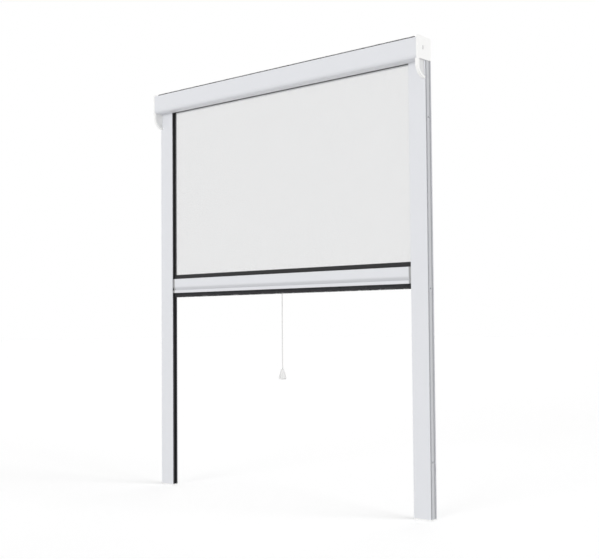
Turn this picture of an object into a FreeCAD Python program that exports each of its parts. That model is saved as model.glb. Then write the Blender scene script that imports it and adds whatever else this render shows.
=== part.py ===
"""Roll-up insect screen for a window: a slim cassette with a sprung net roller, two side guides
and a bottom bar that slides in them and is drawn down by a cord.

The frame stands as in its window. X runs along the cassette, the front faces -Y and Z is up.
The origin is the middle of the frame's footprint, at the level of the sill. Sizes are in mm.
"""

import FreeCAD, Part
import os
import re
import Sketcher

# Driving dimensions. Every sketch and placement below is a formula of these names.
SIZES = {
    # Overall
    "frame_width": 840,  # over the outer faces of the two guides
    "opening_height": 960,  # sill to the underside of the cassette
    # Cassette profile
    "cassette_height": 45,
    "cassette_depth": 47,
    "cassette_wall": 1.3,
    "nose_radius": 9,  # lower front edge
    "crown_radius": 3,  # upper front edge
    "slot_width": 9,  # slot in the underside that the net comes out of
    "flange_height": 5.5,  # upturned edges of that slot
    "brush_setback": 7.2,  # top brush, from the front face
    "brush_slot_width": 5.4,
    "brush_slot_mouth": 3.2,
    "brush_slot_depth": 2.4,
    "brush_slot_lip": 1,
    "top_brush_rise": 4,
    "top_brush_short": 12,  # the brush stops this far from the frame's ends
    "slot_brush_short": 22,
    "slot_brush_gap": 1.3,  # from the net's middle plane to the bristle tips
    # End caps
    "cap_thickness": 4,
    "cap_rise": 4,
    "cap_corner": 5,
    "spigot_length": 7,
    "spigot_wall": 2,
    "fit_gap": 0.3,
    "fin_drop": 40,  # how far the fin under the overhang reaches down the guide
    "fin_shoulder": 14,  # straight length of the fin's front edge
    "fin_rim": 6,
    "fin_rim_width": 7,
    "fin_recess": 3,  # the fin's web lies this deep in its rim
    "fin_web": 1.6,
    "tongue_length": 30,
    "boss_radius": 8,
    "axle_slot_width": 4,
    "axle_slot_height": 9,
    "axle_slot_gap": 0.1,
    "axle_sunk": 1,
    # Guide profile
    "guide_width": 43,
    "guide_depth": 21,
    "channel_depth": 16,
    "profile_wall": 1.3,
    "chamber_width": 11.5,
    "groove_depth": 2.2,  # two grooves beside the rail on the outer face
    "groove_lip": 1.4,
    "rail_start": 6.2,
    "rail_width": 7,
    "pile_setback": 5,  # middle of the pile's slot, from the guide's inner edge
    "pile_slot_width": 5.4,
    "pile_slot_mouth": 4,
    "pile_slot_depth": 1.2,
    "pile_slot_lip": 0.9,
    "pile_rib": 0.8,
    "pile_flare": 8.8,
    "pile_gap": 1.8,  # from the net's middle plane to the pile tips
    "backing_thickness": 0.9,
    # Holes for the screws into the window reveal
    "fixing_radius": 2.25,
    "access_radius": 4.5,
    "fixing_depth": 9.7,  # from the guide's front face
    "fixing_margin": 120,  # lowest hole above the sill, highest below the cassette
    # Foot caps
    "foot_thickness": 3,
    "foot_tongue": 20,
    "foot_stop": 10,  # top of the stop that the bar comes down to
    # Roller
    "axle_share": 0.55,  # axle above the cassette's underside, as a share of its height
    "roll_share": 0.31,  # radius of the wound net, as a share of the same height
    "tube_share": 0.73,  # radius of the tube, as a share of the wound net's
    "tube_wall": 1,
    "end_play": 1,
    "bush_flange": 2,
    "bush_length": 14,
    "bush_flange_step": 1,
    "shaft_radius": 3,
    "running_gap": 0.05,
    "shaft_length": 176,
    "idle_pin_length": 20,
    "spring_play": 2,  # between the spring and the tube
    "spring_wire": 1.2,
    "spring_length": 122,
    "hub_length": 12,
    # Net
    "net_thickness": 0.4,
    "net_overlap": 9,  # how far the net runs into each guide
    "net_margin": 6,
    "mesh_gap": 5.5,
    "mesh_count": 80,
    "soft_gap": 0.3,
    # Bottom bar
    "bar_level": 491.5,  # underside of the bar above the sill, with the net half down
    "bar_height": 36,
    "bar_thickness": 13,
    "bar_wall": 1.2,
    "bar_corner": 1.2,
    "finger_groove_level": 5.4,
    "finger_groove_flat": 2,  # height of the groove's upright floor, above the lip
    "finger_groove_height": 10.6,
    "finger_groove_depth": 2.6,
    "hem_slot_width": 5.6,
    "hem_slot_depth": 5.8,
    "hem_slot_mouth": 2.4,
    "hem_slot_lip": 1,
    "bar_brush_slot_width": 6.6,
    "bar_brush_slot_mouth": 4.2,
    "bar_brush_slot_depth": 3.2,
    "bar_brush_slot_lip": 1,
    "bar_brush_drop": 11.5,
    "hem_rise": 10.5,
    "hem_thickness": 2,
    "hem_neck": 1.6,
    "hem_bead_radius": 2.2,
    "collar_length": 6,
    "bar_end_gap": 1,
    "plug_spigot": 12,
    "shoe_tongue": 3,
    "shoe_play": 1.2,  # between the shoe and the end of its channel
    "shoe_height": 28,
    "shoe_level": 2,
    "shoe_gap": 0.4,
    # Pull cord
    "cord_radius": 1.25,
    "cord_length": 176,
    "cord_hole_radius": 1.4,
    "knot_radius": 2.05,
    "knob_height": 24,
    "knob_radius": 9,
}

# Places that several pieces share.
HALF = "frame_width / 2"
FRONT = "(-cassette_depth / 2)"
BACK = "(cassette_depth / 2)"
GUIDE_FRONT = "(cassette_depth / 2 - guide_depth)"
NET_Y = f"({GUIDE_FRONT} + channel_depth / 2)"
ROLL_RADIUS = "(roll_share * cassette_height)"
TUBE_RADIUS = f"(tube_share * {ROLL_RADIUS})"
AXLE_Y = f"({NET_Y} - net_thickness / 2 - soft_gap - {ROLL_RADIUS})"
AXLE_HEIGHT = "(axle_share * cassette_height)"
AXLE_Z = f"(opening_height + {AXLE_HEIGHT})"
CASSETTE_HALF = f"({HALF} - cap_thickness)"
MOUTH_HALF = f"({HALF} - guide_width)"
NET_HALF = f"({MOUTH_HALF} + net_overlap)"
COLLAR_HALF = f"({MOUTH_HALF} - bar_end_gap)"
BAR_HALF = f"({COLLAR_HALF} - collar_length)"
TUBE_HALF = f"({CASSETTE_HALF} - spigot_length - end_play - bush_flange)"
CHAMBER_START = "(groove_depth + profile_wall)"
CHAMBER_END = f"({CHAMBER_START} + chamber_width)"
CHANNEL_START = f"({CHAMBER_END} + profile_wall)"
SHOE_START = f"({CHANNEL_START} + shoe_play)"
SHOE_END = "(guide_width - pile_setback - pile_flare / 2 - shoe_gap)"
FIXING_SPACING = "(opening_height / 2 - fixing_margin)"
BAR_FRONT = f"({NET_Y} - bar_thickness / 2)"
BAR_TOP = "(bar_level + bar_height)"
HEM_TOP = f"({BAR_TOP} + hem_rise)"
SPRING_START = f"({TUBE_HALF} - bush_length)"
BRUSH_TIP = "(bar_level - bar_brush_drop)"
KNOB_TOP = f"({BRUSH_TIP} - cord_length)"

doc = FreeCAD.newDocument("insect_screen")
sheet = doc.addObject("Spreadsheet::Sheet", "sizes")
for row, (name, size) in enumerate(SIZES.items(), 1):
    sheet.set(f"A{row}", name)
    sheet.set(f"B{row}", str(size))
    sheet.setAlias(f"B{row}", name)
doc.recompute()

parts = []


def bound(formula):
    """The formula with each size's name read from the sheet."""
    return re.sub(r"\b[a-z][a-z_]*\b(?!\()", r"sizes.\g<0>", str(formula))


def value(formula):
    """The formula's present value in mm."""
    return float(sheet.evalExpression(str(formula)))


def place(thing, x="0", y="0", z="0"):
    """Binds where the thing stands."""
    for axis, formula in zip("xyz", (x, y, z)):
        thing.setExpression(f"Placement.Base.{axis}", bound(formula))


def part(label, x="0", y="0", z="0"):
    """An empty body for one piece, standing at x, y, z."""
    body = doc.addObject("PartDesign::Body", label)
    place(body, x, y, z)
    parts.append(body)
    return body


def draw_circle(sketch, across, up, radius):
    """Adds a circle about the point (across, up)."""
    centre = FreeCAD.Vector(value(across), value(up), 0)
    edge = sketch.addGeometry(Part.Circle(centre, FreeCAD.Vector(0, 0, 1), value(radius)), False)
    dimension(sketch, "DistanceX", (-1, 1, edge, 3), across)
    dimension(sketch, "DistanceY", (-1, 1, edge, 3), up)
    dimension(sketch, "Radius", (edge,), radius)


def dimension(sketch, kind, ends, formula):
    """Adds one dimension to the sketch, bound to the sheet."""
    number = sketch.addConstraint(Sketcher.Constraint(kind, *ends, value(formula)))
    sketch.setExpression(f"Constraints[{number}]", bound(formula))


def draw_outline(sketch, corners):
    """Adds a closed outline. A corner is (across, up); one marked "arc" lies on an arc between
    the corner before it and the corner after it."""
    points = [FreeCAD.Vector(value(c[0]), value(c[1]), 0) for c in corners]
    last = len(corners)
    joints = []
    index = 0
    while index < last:
        follow = (index + 1) % last
        if len(corners[follow]) == 3:
            end = (index + 2) % last
            arc = Part.Arc(points[index], points[follow], points[end])
            edge = sketch.addGeometry(arc, False)
            forward = sketch.getPoint(edge, 1).distanceToPoint(points[index]) < 1e-6
            middle = sketch.addGeometry(Part.Point(points[follow]), True)
            dimension(sketch, "DistanceX", (-1, 1, middle, 1), corners[follow][0])
            dimension(sketch, "DistanceY", (-1, 1, middle, 1), corners[follow][1])
            sketch.addConstraint(Sketcher.Constraint("PointOnObject", middle, 1, edge))
            joints.append((index, edge, (1, 2) if forward else (2, 1)))
            index += 2
        else:
            edge = sketch.addGeometry(Part.LineSegment(points[index], points[follow]), False)
            joints.append((index, edge, (1, 2)))
            index += 1
    for number, (corner, edge, ends) in enumerate(joints):
        before = joints[number - 1]
        sketch.addConstraint(Sketcher.Constraint("Coincident", before[1], before[2][1], edge, ends[0]))
        dimension(sketch, "DistanceX", (-1, 1, edge, ends[0]), corners[corner][0])
        dimension(sketch, "DistanceY", (-1, 1, edge, ends[0]), corners[corner][1])


def sketch_on(body, plane, outlines=(), circles=(), offset="0"):
    """A sketch on one of the body's own planes, moved along the plane's normal by offset."""
    sketch = body.newObject("Sketcher::SketchObject", f"{body.Label}_sketch")
    support = next(item for item in body.Origin.OriginFeatures if item.Role == plane)
    sketch.AttachmentSupport = [(support, "")]
    sketch.MapMode = "FlatFace"
    sketch.setExpression("AttachmentOffset.Base.z", bound(offset))
    for corners in outlines:
        draw_outline(sketch, corners)
    for circle in circles:
        draw_circle(sketch, *circle)
    return sketch


def pad(body, sketch, length):
    """Pads the sketch along its plane's normal."""
    feature = body.newObject("PartDesign::Pad", f"{body.Label}_pad")
    feature.Profile = sketch
    feature.setExpression("Length", bound(length))
    sketch.Visibility = False
    return feature


def cut(body, sketch, length, reverse=True):
    """Cuts the sketch out of the body, along its plane's normal unless reverse is False."""
    feature = body.newObject("PartDesign::Pocket", f"{body.Label}_cut")
    feature.Profile = sketch
    feature.Reversed = reverse
    feature.setExpression("Length", bound(length))
    sketch.Visibility = False
    return feature


def repeat(body, features, sketch, axis, extent, count):
    """Repeats the features along one of the sketch's axes, count times over extent."""
    pattern = body.newObject("PartDesign::LinearPattern", f"{body.Label}_pattern")
    pattern.Originals = features
    pattern.Direction = (sketch, [axis])
    pattern.setExpression("Length", bound(extent))
    pattern.setExpression("Occurrences", bound(count))
    body.Tip = pattern
    return pattern


def round_along_x(body, corners, radius):
    """Rounds the long edges that pass through each (y, z) corner of the body's section."""
    doc.recompute()
    base = body.Tip
    wanted = [(value(y), value(z)) for y, z in corners]
    names = []
    for number, edge in enumerate(base.Shape.Edges, 1):
        for y, z in wanted:
            ends = [vertex.Point for vertex in edge.Vertexes]
            if all(abs(end.y - y) < 1e-4 and abs(end.z - z) < 1e-4 for end in ends):
                names.append(f"Edge{number}")
    feature = body.newObject("PartDesign::Fillet", f"{body.Label}_round")
    feature.Base = (base, names)
    feature.setExpression("Radius", bound(radius))
    return feature


def mirrored(label, source):
    """The same piece on the right-hand side of the frame."""
    twin = doc.addObject("Part::Mirroring", label)
    twin.Source = source
    twin.Base = (0, 0, 0)
    twin.Normal = (1, 0, 0)
    parts.append(twin)
    return twin


def strip_outline(middle, seat, grow, steps, sideways=False):
    """A strip's section, symmetric about middle. It starts at seat and grows by grow, + or -,
    through steps of (full width, height above the seat where that width ends)."""
    near, far = [], []
    low = "0"
    for width, height in steps:
        near += [(f"{middle} - ({width}) / 2", f"{seat} {grow} ({low})")]
        near += [(f"{middle} - ({width}) / 2", f"{seat} {grow} ({height})")]
        far += [(f"{middle} + ({width}) / 2", f"{seat} {grow} ({low})")]
        far += [(f"{middle} + ({width}) / 2", f"{seat} {grow} ({height})")]
        low = height
    corners = near + far[::-1]
    return [(up, across) for across, up in corners] if sideways else corners


def rectangle(left, right, low, high):
    return [(left, low), (right, low), (right, high), (left, high)]


def cut_corner(box, size):
    """A rectangle whose lower left corner is cut off."""
    left, right, low, high = box
    return [(f"{left} + {size}", low), (right, low), (right, high), (left, high), (left, f"{low} + {size}")]


# Cassette: a thin profile whose section is one path round the inside and the outside


def cassette_outline():
    """Section in (y, z), from the slot's front lip round the outside and back inside."""
    wall, top = "cassette_wall", "cassette_height"
    lip_front = f"({NET_Y} - slot_width / 2)"
    lip_back = f"({NET_Y} + slot_width / 2)"
    groove = f"({FRONT} + brush_setback)"
    mouth = (f"({groove} - brush_slot_mouth / 2)", f"({groove} + brush_slot_mouth / 2)")
    cavity = (f"({groove} - brush_slot_width / 2)", f"({groove} + brush_slot_width / 2)")
    lip_under = f"({top} - brush_slot_lip)"
    floor = f"({lip_under} - brush_slot_depth)"
    outside = [
        (lip_front, "0"),
        (FRONT, "0"),
        (FRONT, top),
        (mouth[0], top),
        (mouth[0], lip_under),
        (cavity[0], lip_under),
        (cavity[0], floor),
        (cavity[1], floor),
        (cavity[1], lip_under),
        (mouth[1], lip_under),
        (mouth[1], top),
        (BACK, top),
        (BACK, "0"),
        (lip_back, "0"),
    ]
    inside = [
        (lip_back, "flange_height"),
        (f"{lip_back} + {wall}", "flange_height"),
        (f"{lip_back} + {wall}", wall),
        (f"{BACK} - {wall}", wall),
        (f"{BACK} - {wall}", f"{top} - {wall}"),
        (f"{cavity[1]} + {wall}", f"{top} - {wall}"),
        (f"{cavity[1]} + {wall}", f"{floor} - {wall}"),
        (f"{cavity[0]} - {wall}", f"{floor} - {wall}"),
        (f"{cavity[0]} - {wall}", f"{top} - {wall}"),
        (f"{FRONT} + {wall}", f"{top} - {wall}"),
        (f"{FRONT} + {wall}", wall),
        (f"{lip_front} - {wall}", wall),
        (f"{lip_front} - {wall}", "flange_height"),
        (lip_front, "flange_height"),
    ]
    return outside + inside


def make_cassette():
    body = part("cassette", x=f"-{CASSETTE_HALF}", z="opening_height")
    section = sketch_on(body, "YZ_Plane", [cassette_outline()])
    pad(body, section, f"2 * {CASSETTE_HALF}")
    inner_front, wall = f"{FRONT} + cassette_wall", "cassette_wall"
    round_along_x(body, [(FRONT, "0")], "nose_radius")
    round_along_x(body, [(inner_front, wall)], "nose_radius - cassette_wall")
    round_along_x(body, [(FRONT, "cassette_height")], "crown_radius")
    round_along_x(body, [(inner_front, f"cassette_height - {wall}")], "crown_radius - cassette_wall")


def make_cassette_brushes():
    """Bristle strips: one in the groove along the top and one on each side of the net's slot."""
    half = f"({HALF} - top_brush_short)"
    seat = "(cassette_height - brush_slot_lip - brush_slot_depth)"
    body = part("cassette_top_brush", x=f"-{half}", z="opening_height")
    steps = [
        ("brush_slot_width - fit_gap", "backing_thickness"),
        ("brush_slot_mouth - fit_gap", f"cassette_height + top_brush_rise - {seat}"),
    ]
    outline = strip_outline(f"({FRONT} + brush_setback)", seat, "+", steps)
    pad(body, sketch_on(body, "YZ_Plane", [outline]), f"2 * {half}")

    half = f"({HALF} - slot_brush_short)"
    reach = "slot_width / 2 - slot_brush_gap"
    steps = [("flange_height - 2 * fit_gap", "backing_thickness"), ("flange_height / 2", reach)]
    for side, sign, grow in (("front", "-", "+"), ("back", "+", "-")):
        body = part(f"slot_brush_{side}", x=f"-{half}", z="opening_height")
        edge = f"({NET_Y} {sign} slot_width / 2)"
        outline = strip_outline("flange_height / 2", edge, grow, steps, sideways=True)
        pad(body, sketch_on(body, "YZ_Plane", [outline]), f"2 * {half}")


# End caps: plate, spigot in the cassette, fin under the overhang, tongue in the guide


def fin_arc(inset="0"):
    """The fin's free edge in (y, z), from the front down to the guide, moved in by inset."""
    return [
        (f"{FRONT} + {inset}", "-fin_shoulder"),
        (f"{FRONT} + 0.3 * (cassette_depth - guide_depth) + 0.9 * ({inset})", "-0.74 * fin_drop", "arc"),
        (GUIDE_FRONT, f"-fin_drop + {inset}"),
    ]


def make_end_cap():
    body = part("end_cap_left", x=f"-{HALF}", z="opening_height")
    top = "(cassette_height + cap_rise)"
    pad(body, sketch_on(body, "YZ_Plane", [rectangle(FRONT, BACK, "0", top)]), "cap_thickness")
    round_along_x(body, [(FRONT, top), (BACK, top)], "cap_corner")

    # The fin under the overhang is a thin web inside a rim.
    inner = [(f"{FRONT} + fin_rim", "0")] + fin_arc("fin_rim")
    rim = [(FRONT, "0")] + fin_arc() + inner[::-1]
    pad(body, sketch_on(body, "YZ_Plane", [rim]), "fin_rim_width")
    web = sketch_on(body, "YZ_Plane", [inner + [(GUIDE_FRONT, "0")]], offset="fin_recess")
    pad(body, web, "fin_web")

    # The spigot is an open box with a web each way through the axle's boss.
    wall, clear = "spigot_wall", "(cassette_wall + fit_gap)"
    low = f"(flange_height + {wall} / 4)"
    high = "(cassette_height - brush_slot_lip - brush_slot_depth - cassette_wall - fit_gap)"
    box = (f"{FRONT} + {clear}", f"{BACK} - {clear}", low, high)
    room = (f"{box[0]} + {wall}", f"{box[1]} - {wall}", f"{low} + {wall}", f"{high} - {wall}")
    loops = [cut_corner(box, "nose_radius / 3"), cut_corner(room, "nose_radius / 6")]
    spigot = sketch_on(body, "YZ_Plane", loops, offset="cap_thickness")
    pad(body, spigot, "spigot_length")
    web = rectangle(f"{AXLE_Y} - {wall} / 2", f"{AXLE_Y} + {wall} / 2", low, high)
    pad(body, sketch_on(body, "YZ_Plane", [web], offset="cap_thickness"), "spigot_length")
    shelf = rectangle(box[0], box[1], f"{AXLE_HEIGHT} - {wall} / 2", f"{AXLE_HEIGHT} + {wall} / 2")
    pad(body, sketch_on(body, "YZ_Plane", [shelf], offset="cap_thickness"), "spigot_length")
    boss = sketch_on(body, "YZ_Plane", circles=[(AXLE_Y, AXLE_HEIGHT, "boss_radius")], offset="cap_thickness")
    pad(body, boss, "spigot_length")

    # The tongue hangs through the cassette's slot into the guide's chamber.
    tongue = rectangle(
        f"{CHAMBER_START} + fit_gap",
        f"{CHAMBER_END} - fit_gap",
        f"{NET_Y} - slot_width / 2 + fit_gap",
        f"{NET_Y} + slot_width / 2 - fit_gap",
    )
    hanging = sketch_on(body, "XY_Plane", [tongue], offset="-tongue_length")
    pad(body, hanging, f"tongue_length + {low} + {wall}")

    # The roller's axle is held against turning by a flat in an upright slot.
    half_width, half_height = "axle_slot_width / 2", "axle_slot_height / 2"
    slot = rectangle(
        f"{AXLE_Y} - {half_width}",
        f"{AXLE_Y} + {half_width}",
        f"{AXLE_HEIGHT} - {half_height}",
        f"{AXLE_HEIGHT} + {half_height}",
    )
    cut(body, sketch_on(body, "YZ_Plane", [slot]), "cap_thickness")
    hole = (AXLE_Y, AXLE_HEIGHT, "shaft_radius + running_gap")
    bore = sketch_on(body, "YZ_Plane", circles=[hole], offset="cap_thickness")
    cut(body, bore, "spigot_length")
    mirrored("end_cap_right", body)


# Guides: a closed chamber at the wall and an open channel for the net, with two pile slots


def pile_slot(front, sign):
    """The slot for one pile strip in (a, b), walked inwards from the guide's inner edge. front is
    the wall's inner face and sign the way into the channel."""
    middle = "(guide_width - pile_setback)"
    wide, mouth = "pile_slot_width / 2", "pile_slot_mouth / 2"
    under = f"{front} {sign} pile_slot_depth"
    over = f"{under} {sign} pile_slot_lip"
    return [
        (f"{middle} + {wide} + pile_rib", front),
        (f"{middle} + {wide} + pile_rib", over),
        (f"{middle} + {mouth}", over),
        (f"{middle} + {mouth}", under),
        (f"{middle} + {wide}", under),
        (f"{middle} + {wide}", front),
        (f"{middle} - {wide}", front),
        (f"{middle} - {wide}", under),
        (f"{middle} - {mouth}", under),
        (f"{middle} - {mouth}", over),
        (f"{middle} - {wide} - pile_rib", over),
        (f"{middle} - {wide} - pile_rib", front),
    ]


def guide_outer_side():
    """The guide's side towards the wall in (a, b), from back to front: a rail between two grooves."""
    rail_end = "(rail_start + rail_width)"
    return [
        ("0", "guide_depth"),
        ("0", "guide_depth - groove_lip"),
        ("groove_depth", "guide_depth - groove_lip"),
        ("groove_depth", rail_end),
        ("0", rail_end),
        ("0", "rail_start"),
        ("groove_depth", "rail_start"),
        ("groove_depth", "groove_lip"),
        ("0", "groove_lip"),
    ]


def guide_outline():
    """Section of the left guide in (a, b): a from the wall inwards, b from the front back."""
    wall = "profile_wall"
    back_wall = f"(channel_depth - {wall})"
    front_edge = [("0", "0"), ("guide_width", "0"), ("guide_width", wall)]
    channel = [(CHANNEL_START, wall), (CHANNEL_START, back_wall)]
    back_edge = [
        ("guide_width", back_wall),
        ("guide_width", "channel_depth"),
        (CHANNEL_START, "channel_depth"),
        (CHANNEL_START, "guide_depth"),
    ]
    front_slot = pile_slot(wall, "+")
    back_slot = pile_slot(back_wall, "-")[::-1]
    return front_edge + front_slot + channel + back_slot + back_edge + guide_outer_side()


def make_guides():
    body = part("guide_left", x=f"-{HALF}", y=GUIDE_FRONT, z="foot_thickness")
    wall = "profile_wall"
    chamber = rectangle(CHAMBER_START, CHAMBER_END, wall, f"guide_depth - {wall}")
    section = sketch_on(body, "XY_Plane", [guide_outline(), chamber])
    pad(body, section, "opening_height - foot_thickness")
    level = "fixing_margin - foot_thickness"
    hole = sketch_on(body, "YZ_Plane", circles=[("fixing_depth", level, "fixing_radius")])
    through_rail = cut(body, hole, f"{CHAMBER_START} + {wall}")
    access = sketch_on(
        body,
        "YZ_Plane",
        circles=[("fixing_depth", level, "access_radius")],
        offset=f"{CHAMBER_END} - {wall}",
    )
    through_web = cut(body, access, f"3 * {wall}")
    repeat(body, [through_rail, through_web], hole, "V_Axis", f"2 * {FIXING_SPACING}", "3")
    mirrored("guide_right", body)


def pile_outline(seat, grow):
    """Section of one pile in (a, b): its backing in the slot, and bristles that flare over the
    ribs and lap round the one at the guide's mouth."""
    middle = "(guide_width - pile_setback)"
    backing, neck = "(pile_slot_width - fit_gap) / 2", "(pile_slot_mouth - fit_gap) / 2"
    rib = f"{middle} + pile_slot_width / 2 + pile_rib"
    under = f"{seat} {grow} backing_thickness"
    over = f"{seat} {grow} (pile_slot_depth + pile_slot_lip)"
    tips = f"{seat} {grow} (channel_depth / 2 - profile_wall - pile_gap)"
    return [
        (f"{middle} - {backing}", seat),
        (f"{middle} + {backing}", seat),
        (f"{middle} + {backing}", under),
        (f"{middle} + {neck}", under),
        (f"{middle} + {neck}", over),
        (rib, over),
        (rib, seat),
        (f"{middle} + pile_flare / 2", seat),
        (f"{middle} + pile_flare / 2", tips),
        (f"{middle} - pile_flare / 2", tips),
        (f"{middle} - pile_flare / 2", over),
        (f"{middle} - {neck}", over),
        (f"{middle} - {neck}", under),
        (f"{middle} - {backing}", under),
    ]


def make_guide_piles():
    """Two facing pile strips in each guide."""
    wall = "profile_wall"
    for side, seat, grow in (("front", wall, "+"), ("back", f"(channel_depth - {wall})", "-")):
        body = part(f"guide_pile_{side}_left", x=f"-{HALF}", y=GUIDE_FRONT, z="foot_thickness")
        section = sketch_on(body, "XY_Plane", [pile_outline(seat, grow)])
        pad(body, section, "opening_height - foot_thickness")
        mirrored(f"guide_pile_{side}_right", body)


def make_foot_caps():
    """A plate under each guide, with a tongue up its chamber and a stop in its channel."""
    body = part("foot_cap_left", x=f"-{HALF}", y=GUIDE_FRONT)
    wall, clear = "profile_wall", "fit_gap"
    sole = [
        ("0", "0"),
        ("guide_width", "0"),
        ("guide_width", "channel_depth"),
        (CHANNEL_START, "channel_depth"),
        (CHANNEL_START, "guide_depth"),
    ]
    pad(body, sketch_on(body, "XY_Plane", [sole + guide_outer_side()]), "foot_thickness")
    tongue = rectangle(
        f"{CHAMBER_START} + {clear}",
        f"{CHAMBER_END} - {clear}",
        f"{wall} + {clear}",
        f"guide_depth - {wall} - {clear}",
    )
    pad(body, sketch_on(body, "XY_Plane", [tongue], offset="foot_thickness"), "foot_tongue")
    stop = rectangle(
        SHOE_START,
        SHOE_END,
        f"{wall} + {clear}",
        f"channel_depth - {wall} - {clear}",
    )
    pad(body, sketch_on(body, "XY_Plane", [stop], offset="foot_thickness"), "foot_stop")
    mirrored("foot_cap_right", body)


# Roller: a tube on two bushes, turned by a torsion spring round a fixed shaft


def ring(label, start, length, outer, inner):
    """A tube or ring about the roller's axis, from x = start."""
    body = part(label, x=start, y=AXLE_Y, z=AXLE_Z)
    section = sketch_on(body, "YZ_Plane", circles=[("0", "0", outer), ("0", "0", inner)])
    pad(body, section, length)
    return body


def make_bush():
    """Flanged bush in the tube's left end, running on the shaft."""
    bore = "shaft_radius + running_gap"
    flange = f"{TUBE_RADIUS} + bush_flange_step"
    body = ring("roller_bush_left", f"-{TUBE_HALF} - bush_flange", "bush_flange", flange, bore)
    plug = [("0", "0", f"{TUBE_RADIUS} - tube_wall - running_gap"), ("0", "0", bore)]
    pad(body, sketch_on(body, "YZ_Plane", circles=plug, offset="bush_flange"), "bush_length")
    mirrored("roller_bush_right", body)


def make_shaft(label, length):
    """Round shaft from the left cap inwards, with a flat end that sits in the cap's slot."""
    body = part(label, x=f"-{HALF}", y=AXLE_Y, z=AXLE_Z)
    half_width = "(axle_slot_width / 2 - axle_slot_gap)"
    half_height = "(axle_slot_height / 2 - axle_slot_gap)"
    flat = rectangle(f"-{half_width}", half_width, f"-{half_height}", half_height)
    pad(body, sketch_on(body, "YZ_Plane", [flat], offset="axle_sunk"), "cap_thickness - axle_sunk")
    rod = sketch_on(body, "YZ_Plane", circles=[("0", "0", "shaft_radius")], offset="cap_thickness")
    pad(body, rod, length)
    return body


def make_spring():
    """Torsion spring, wound turn on turn, from the left bush to a hub on the fixed shaft."""
    outer = f"({TUBE_RADIUS} - tube_wall - spring_play)"
    ring("torsion_spring", f"-{SPRING_START}", "spring_length", outer, f"{outer} - spring_wire")
    ring("spring_hub", f"-{SPRING_START} + spring_length", "hub_length", outer, "shaft_radius")


def make_roller():
    ring("roller_tube", f"-{TUBE_HALF}", f"2 * {TUBE_HALF}", TUBE_RADIUS, f"{TUBE_RADIUS} - tube_wall")
    make_bush()
    make_shaft("spring_shaft", "shaft_length")
    idle = make_shaft("idle_pin_blank", "idle_pin_length")
    parts.remove(idle)
    mirrored("idle_pin", idle)
    make_spring()
    ring("net_roll", f"-{NET_HALF}", f"2 * {NET_HALF}", ROLL_RADIUS, TUBE_RADIUS)


# Net: one wall from the roll down to the hem, opened by narrow upright gaps


def make_net():
    body = part("net_panel", y=f"{NET_Y} + net_thickness / 2")
    sheet_outline = rectangle(f"-{NET_HALF}", NET_HALF, HEM_TOP, AXLE_Z)
    pad(body, sketch_on(body, "XZ_Plane", [sheet_outline]), "net_thickness")
    left = f"(-{NET_HALF} + net_margin)"
    pitch = f"((2 * {NET_HALF} - 2 * net_margin) / mesh_count)"
    gap = rectangle(left, f"{left} + mesh_gap", f"{HEM_TOP} + net_margin", "opening_height - net_margin")
    window = sketch_on(body, "XZ_Plane", [gap])
    first = cut(body, window, "net_thickness")
    extent = f"{pitch} * (mesh_count - 1)"
    repeat(body, [first], window, "H_Axis", extent, "mesh_count")


# Bottom bar


def bar_outline():
    """Section of the bar in (b, z): b from its front face back, z from its underside."""
    middle, top, deep = "(bar_thickness / 2)", "bar_height", "bar_thickness"
    groove_floor = "(finger_groove_level + finger_groove_flat)"
    groove_top = "(finger_groove_level + finger_groove_height)"
    hem_wide = ("hem_slot_width / 2", "hem_slot_mouth / 2")
    hem_roof, hem_floor = f"{top} - hem_slot_lip", f"{top} - hem_slot_depth"
    brush_wide = ("bar_brush_slot_width / 2", "bar_brush_slot_mouth / 2")
    front = [
        ("0", "0"),
        ("0", "finger_groove_level"),
        ("finger_groove_depth", "finger_groove_level"),
        ("finger_groove_depth", groove_floor),
        ("0.3 * finger_groove_depth", f"({groove_floor} + {groove_top}) / 2", "arc"),
        ("0", groove_top),
        ("0", top),
    ]
    hem_slot = [
        (f"{middle} - {hem_wide[1]}", top),
        (f"{middle} - {hem_wide[1]}", hem_roof),
        (f"{middle} - {hem_wide[0]}", hem_roof),
        (f"{middle} - {hem_wide[0]}", hem_floor),
        (f"{middle} + {hem_wide[0]}", hem_floor),
        (f"{middle} + {hem_wide[0]}", hem_roof),
        (f"{middle} + {hem_wide[1]}", hem_roof),
        (f"{middle} + {hem_wide[1]}", top),
    ]
    brush_slot = [
        (f"{middle} + {brush_wide[1]}", "0"),
        (f"{middle} + {brush_wide[1]}", "bar_brush_slot_lip"),
        (f"{middle} + {brush_wide[0]}", "bar_brush_slot_lip"),
        (f"{middle} + {brush_wide[0]}", "bar_brush_slot_depth"),
        (f"{middle} - {brush_wide[0]}", "bar_brush_slot_depth"),
        (f"{middle} - {brush_wide[0]}", "bar_brush_slot_lip"),
        (f"{middle} - {brush_wide[1]}", "bar_brush_slot_lip"),
        (f"{middle} - {brush_wide[1]}", "0"),
    ]
    return front + hem_slot + [(deep, top), (deep, "0")] + brush_slot


def bar_chamber(clear="0"):
    """The bar's hollow, which is narrower behind the finger groove, drawn in by clear."""
    wall = f"(bar_wall + {clear})"
    step = f"(finger_groove_depth + {wall})"
    back = f"bar_thickness - {wall}"
    low = f"bar_brush_slot_depth + {wall}"
    high = f"bar_height - hem_slot_depth - {wall}"
    ledge = f"finger_groove_level + finger_groove_height + {wall}"
    return [(step, low), (back, low), (back, high), (wall, high), (wall, ledge), (step, ledge)]


def bar_corners():
    """The section's four outer corners in the bar's own y and z."""
    return [("0", "0"), ("0", "bar_height"), ("bar_thickness", "0"), ("bar_thickness", "bar_height")]


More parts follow.
